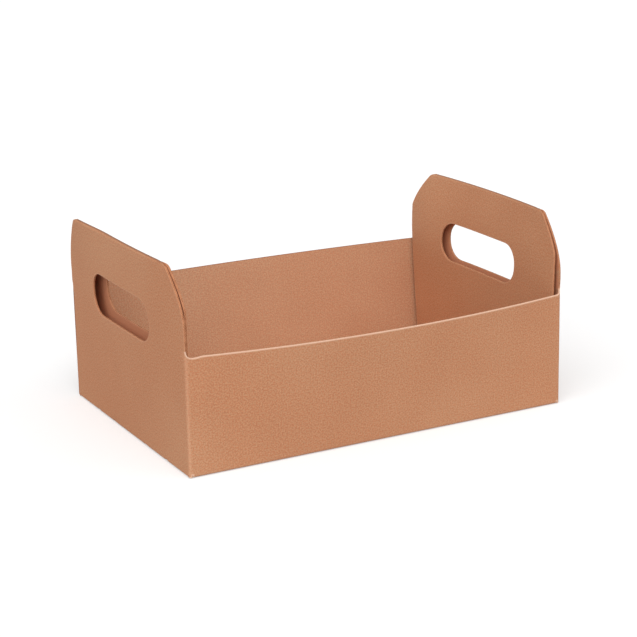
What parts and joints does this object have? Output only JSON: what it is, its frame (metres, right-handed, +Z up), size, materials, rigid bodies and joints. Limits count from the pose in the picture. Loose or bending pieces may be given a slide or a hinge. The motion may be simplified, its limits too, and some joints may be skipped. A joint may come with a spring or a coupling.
{
  "type": "cardboard tray box",
  "caption": "Open rectangular tray box folded from one sheet of kraft board, with low long walls and tall double-layer ends that carry hand slots.",
  "frame": {"origin": "centre of the bounding box, at the level of the underside of the base", "axes": "+X along the length, from the left end to the right end; +Y from the front wall to the back wall; +Z up"},
  "size_m": [0.3284, 0.2266, 0.15],
  "materials": {
    "kraft_board": "matt brown kraft liner with fine fibre mottling"
  },
  "bodies": {
    "root": {"folded_tray": "kraft_board"}
  },
  "joints": []
}
